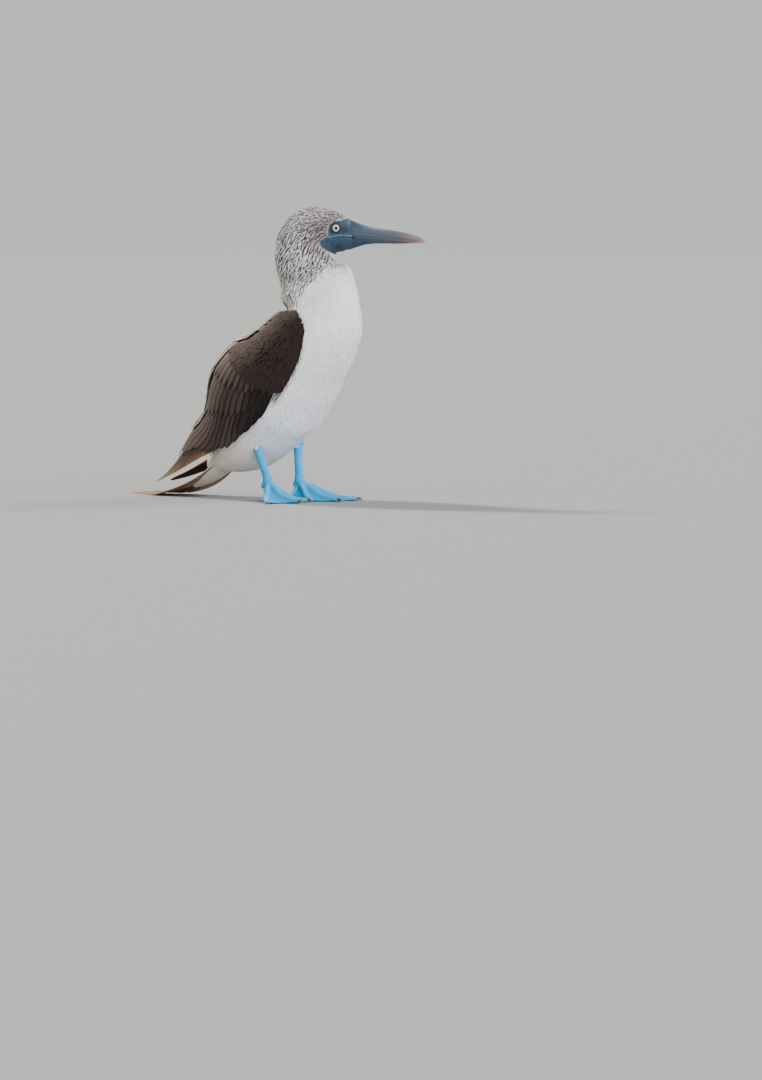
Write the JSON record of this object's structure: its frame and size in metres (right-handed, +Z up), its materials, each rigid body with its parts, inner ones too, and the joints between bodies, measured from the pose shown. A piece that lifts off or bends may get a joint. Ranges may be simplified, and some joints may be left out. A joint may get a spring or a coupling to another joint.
{
  "type": "blue-footed booby",
  "caption": "Standing blue-footed booby, life size, with folded wings, its head turned to its left, bare webbed feet and a long pointed bill; still.",
  "frame": {"origin": "on the floor under the middle of the whole bird's box", "axes": "+X the way the breast faces, +Y the bird's left, +Z up; the head is turned 45 degrees from +X towards +Y"},
  "size_m": [0.4454, 0.2104, 0.3904],
  "materials": {
    "white_plumage": "soft white feathers, warm below",
    "streaked_plumage": "pale feathers streaked dark brown, with bare slate-blue skin at the face",
    "wing_feathers": "dark brown vanes with paler centres and fringes",
    "tail_feathers": "grey-brown vanes with pale shafts and tan edges",
    "bill": "satin grey-blue horn, browner towards the tip",
    "eye": "wet pale yellow iris with a small black pupil",
    "leg_skin": "satin turquoise-blue scaled skin",
    "claw": "satin horn-brown"
  },
  "bodies": {
    "root": {"bill_lower": "bill", "bill_upper": "bill", "claw_left_hind": "claw", "claw_left_inner": "claw", "claw_left_middle": "claw", "claw_left_outer": "claw", "claw_right_hind": "claw", "claw_right_inner": "claw", "claw_right_middle": "claw", "claw_right_outer": "claw", "eye_left": "eye", "eye_right": "eye", "foot_left": "leg_skin", "foot_right": "leg_skin", "head": "streaked_plumage", "neck": "streaked_plumage", "tail": "tail_feathers", "tarsus_left": "leg_skin", "tarsus_right": "leg_skin", "thigh_left": "white_plumage", "thigh_right": "white_plumage", "torso": "white_plumage", "wing_left": "wing_feathers", "wing_right": "wing_feathers"}
  },
  "joints": []
}
